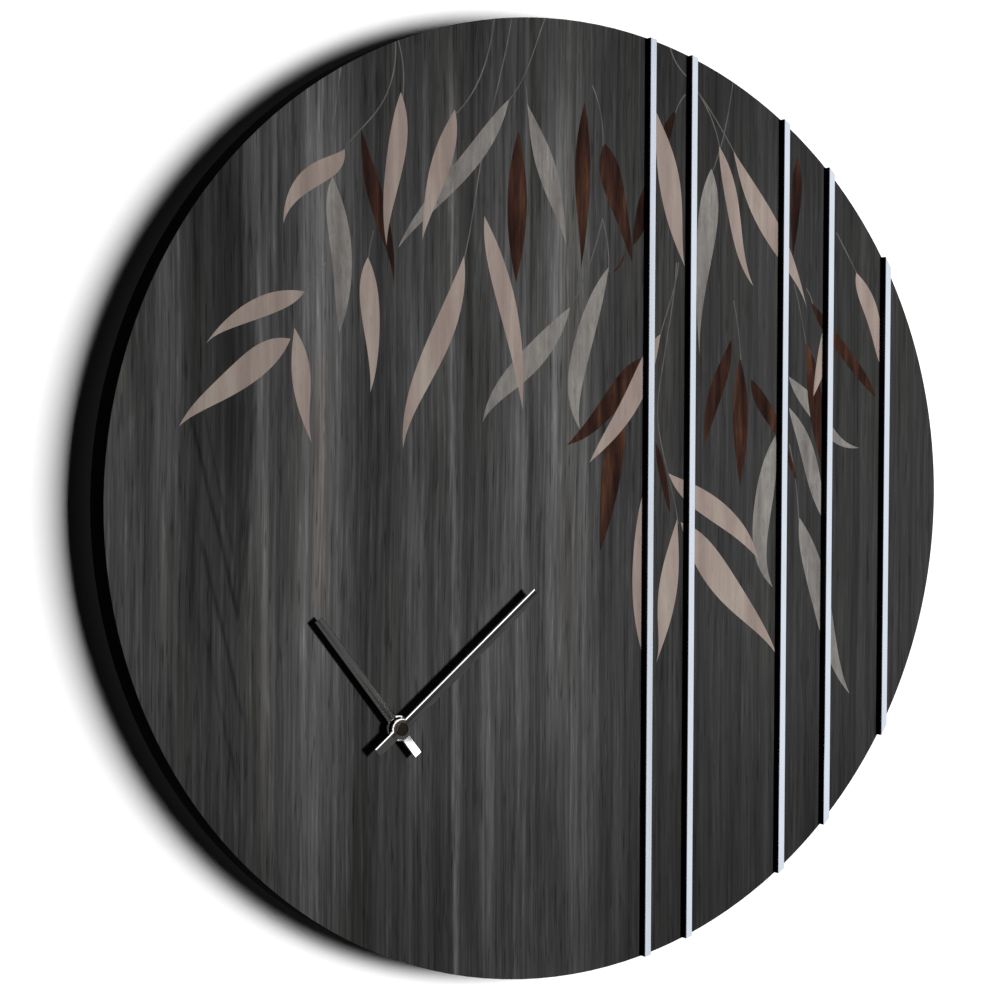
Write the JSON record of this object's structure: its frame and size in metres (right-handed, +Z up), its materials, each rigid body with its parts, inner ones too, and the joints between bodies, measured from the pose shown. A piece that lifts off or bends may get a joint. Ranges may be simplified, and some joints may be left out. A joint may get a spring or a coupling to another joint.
{
  "type": "wall clock",
  "caption": "Round dark wood wall clock with inlaid leaves, upright metal bars, off-centre bar hands and a battery quartz movement behind.",
  "frame": {"origin": "centre of the rear face that lies on the wall", "axes": "+Z up, +X to the right as the clock is read, +Y into the wall, so the dial looks along -Y"},
  "size_m": [0.6, 0.0434, 0.6],
  "materials": {
    "mdf": "raw medium density board",
    "black_edge": "black stained and lacquered edge band",
    "backing": "black painted board",
    "screw_steel": "zinc plated",
    "zinc": "zinc plated sheet steel",
    "dial_wood": "charcoal stained veneer, satin lacquer",
    "leaf_beige": "pale pink beige veneer",
    "leaf_grey": "silver grey stained veneer",
    "leaf_brown": "dark red brown veneer",
    "stem": "pale grey line inlay",
    "polished_bar": "polished metal bar",
    "case_plastic": "moulded black plastic",
    "brass": "turned brass",
    "board": "green glass fibre board",
    "chip": "black epoxy drop",
    "crystal_can": "drawn metal can",
    "lamination": "soft iron sheet",
    "bobbin": "natural moulded plastic",
    "copper": "enamelled copper wire",
    "magnet": "sintered magnet",
    "gear_plastic": "acetal",
    "knob_plastic": "moulded plastic",
    "rubber": "soft black rubber",
    "dark_metal": "black oxide",
    "battery_jacket": "printed jacket, plain colours",
    "spring_steel": "nickel plated strip",
    "polished_hand": "polished bar hand",
    "dark_bronze": "dark bronze"
  },
  "bodies": {
    "clock_body": {"core_panel": "mdf", "edge_band": "black_edge", "backing_disc": "backing", "backing_screws": "screw_steel", "keyhole_hanger": "zinc", "hanger_screws": "screw_steel", "face_veneer_1": "dial_wood", "face_veneer_2": "dial_wood", "face_veneer_3": "dial_wood", "face_veneer_4": "dial_wood", "face_veneer_5": "dial_wood", "face_veneer_6": "dial_wood", "leaf_inlays_beige": "leaf_beige", "leaf_inlays_grey": "leaf_grey", "leaf_inlays_brown": "leaf_brown", "stem_inlays": "stem", "metal_bar_1": "polished_bar", "metal_bar_2": "polished_bar", "metal_bar_3": "polished_bar", "metal_bar_4": "polished_bar", "metal_bar_5": "polished_bar", "movement_front_shell": "case_plastic", "movement_rear_shell": "case_plastic", "train_bridge": "brass", "circuit_board": "board", "driver_chip": "chip", "quartz_crystal": "crystal_can", "stator_plate": "lamination", "coil_core": "lamination", "coil_bobbin": "bobbin", "coil_winding": "copper", "threaded_bush": "brass", "rubber_washer": "rubber", "dial_washer": "dark_metal", "hex_nut": "dark_metal", "positive_contact": "spring_steel", "negative_contact": "spring_steel"},
    "minute_train": {"minute_hand": "polished_hand", "hand_nut": "dark_bronze", "minute_pipe": "brass", "centre_wheel": "brass"},
    "hour_train": {"hour_hand": "polished_hand", "hour_wheel": "brass"},
    "motion_work": {"motion_wheel": "gear_plastic", "set_knob": "knob_plastic"},
    "third_wheel": {"third_wheel": "gear_plastic"},
    "second_wheel": {"second_wheel": "gear_plastic"},
    "intermediate_wheel": {"intermediate_wheel": "gear_plastic"},
    "rotor": {"rotor_pinion": "gear_plastic", "rotor_magnet": "magnet"},
    "battery": {"battery": "battery_jacket"}
  },
  "joints": [
    {"name": "minute_turn", "type": "hinge", "parent": "clock_body", "child": "minute_train", "pos_m": [-0.1145, -0.02, -0.136], "axis": [0, 1, 0], "continuous": true},
    {"name": "hour_turn", "type": "hinge", "parent": "clock_body", "child": "hour_train", "pos_m": [-0.1145, -0.02, -0.136], "axis": [0, 1, 0], "continuous": true},
    {"name": "motion_turn", "type": "hinge", "parent": "clock_body", "child": "motion_work", "pos_m": [-0.12698, -0.02, -0.136], "axis": [0, 1, 0], "continuous": true},
    {"name": "third_turn", "type": "hinge", "parent": "clock_body", "child": "third_wheel", "pos_m": [-0.12062, -0.02, -0.1254], "axis": [0, 1, 0], "continuous": true},
    {"name": "second_turn", "type": "hinge", "parent": "clock_body", "child": "second_wheel", "pos_m": [-0.1145, -0.02, -0.136], "axis": [0, 1, 0], "continuous": true},
    {"name": "intermediate_turn", "type": "hinge", "parent": "clock_body", "child": "intermediate_wheel", "pos_m": [-0.1049, -0.02, -0.136], "axis": [0, 1, 0], "continuous": true},
    {"name": "rotor_turn", "type": "hinge", "parent": "clock_body", "child": "rotor", "pos_m": [-0.1007, -0.02, -0.12873], "axis": [0, 1, 0], "continuous": true},
    {"name": "battery_slide", "type": "slide", "parent": "clock_body", "child": "battery", "axis": [0, 1, 0], "range_m": [0, 0.02]}
  ],
  "couplings": [
    {"joint": "hour_turn", "follows": "minute_turn", "ratio": 0.083333},
    {"joint": "motion_turn", "follows": "minute_turn", "ratio": -0.33333},
    {"joint": "third_turn", "follows": "minute_turn", "ratio": -8},
    {"joint": "second_turn", "follows": "minute_turn", "ratio": 60},
    {"joint": "intermediate_turn", "follows": "minute_turn", "ratio": -300},
    {"joint": "rotor_turn", "follows": "minute_turn", "ratio": 1800}
  ]
}
